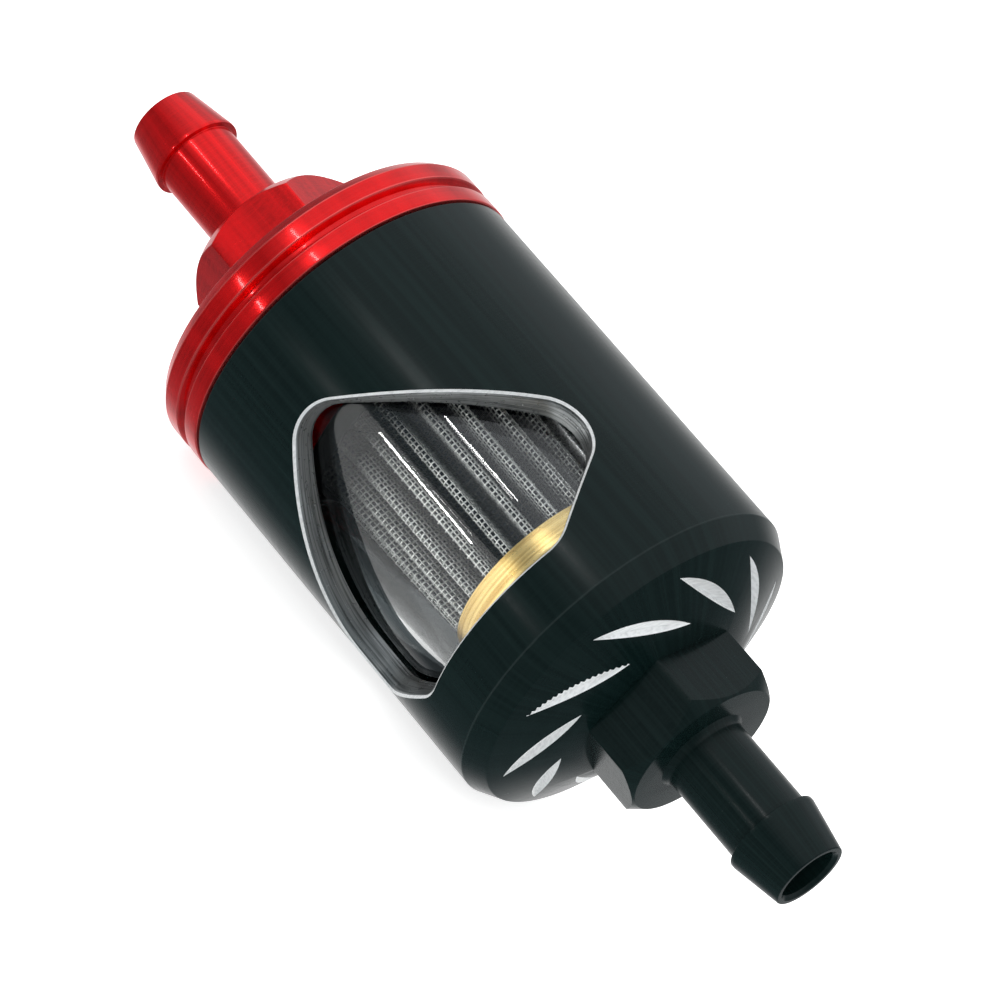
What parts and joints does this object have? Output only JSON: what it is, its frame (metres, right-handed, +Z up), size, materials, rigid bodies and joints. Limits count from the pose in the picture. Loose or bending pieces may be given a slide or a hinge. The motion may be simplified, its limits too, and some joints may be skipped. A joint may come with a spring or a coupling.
{
  "type": "inline fuel filter",
  "caption": "In-line fuel filter: windowed round housing with a hose barb, screw-on barbed end cap, glass tube and a spring-loaded pleated mesh element.",
  "frame": {"origin": "on the filter's axis, half-way between the two barb tips", "axes": "+X along the axis towards the inlet barb, -Y out of the front window, +Z up; the windows face -Y and +Y"},
  "size_m": [0.0822, 0.0302, 0.0302],
  "materials": {
    "black_anodised": "gloss black anodised",
    "red_anodised": "gloss red anodised over fine turning lines",
    "clear_glass": "clear polished",
    "black_rubber": "matt nitrile",
    "black_plastic": "matt moulded",
    "pressed_brass": "satin pressed",
    "bright_steel": "bright drawn",
    "woven_steel": "woven wire"
  },
  "bodies": {
    "housing": {"housing": "black_anodised", "sight_glass": "clear_glass", "outlet_glass_seal": "black_rubber", "inlet_glass_seal": "black_rubber", "element_spring": "bright_steel"},
    "element": {"outlet_end_disc": "black_plastic", "blind_end_disc": "pressed_brass", "outlet_grommet": "black_rubber", "core_tube": "bright_steel", "support_mesh": "woven_steel", "fine_mesh": "woven_steel", "seam_clip": "bright_steel"},
    "cap": {"end_cap": "red_anodised", "cap_o_ring": "black_rubber"}
  },
  "joints": [
    {"name": "screw_travel", "type": "slide", "parent": "housing", "child": "element", "axis": [-1, 0, 0], "range_m": [0, 0.00344], "deforming": ["element_spring"]},
    {"name": "cap_turn", "type": "hinge", "parent": "element", "child": "cap", "pos_m": [0, 0, 0], "axis": [-1, 0, 0], "range_deg": [0, 990]}
  ],
  "couplings": [
    {"joint": "cap_turn", "follows": "screw_travel", "rad_per_m": 5026.5}
  ]
}
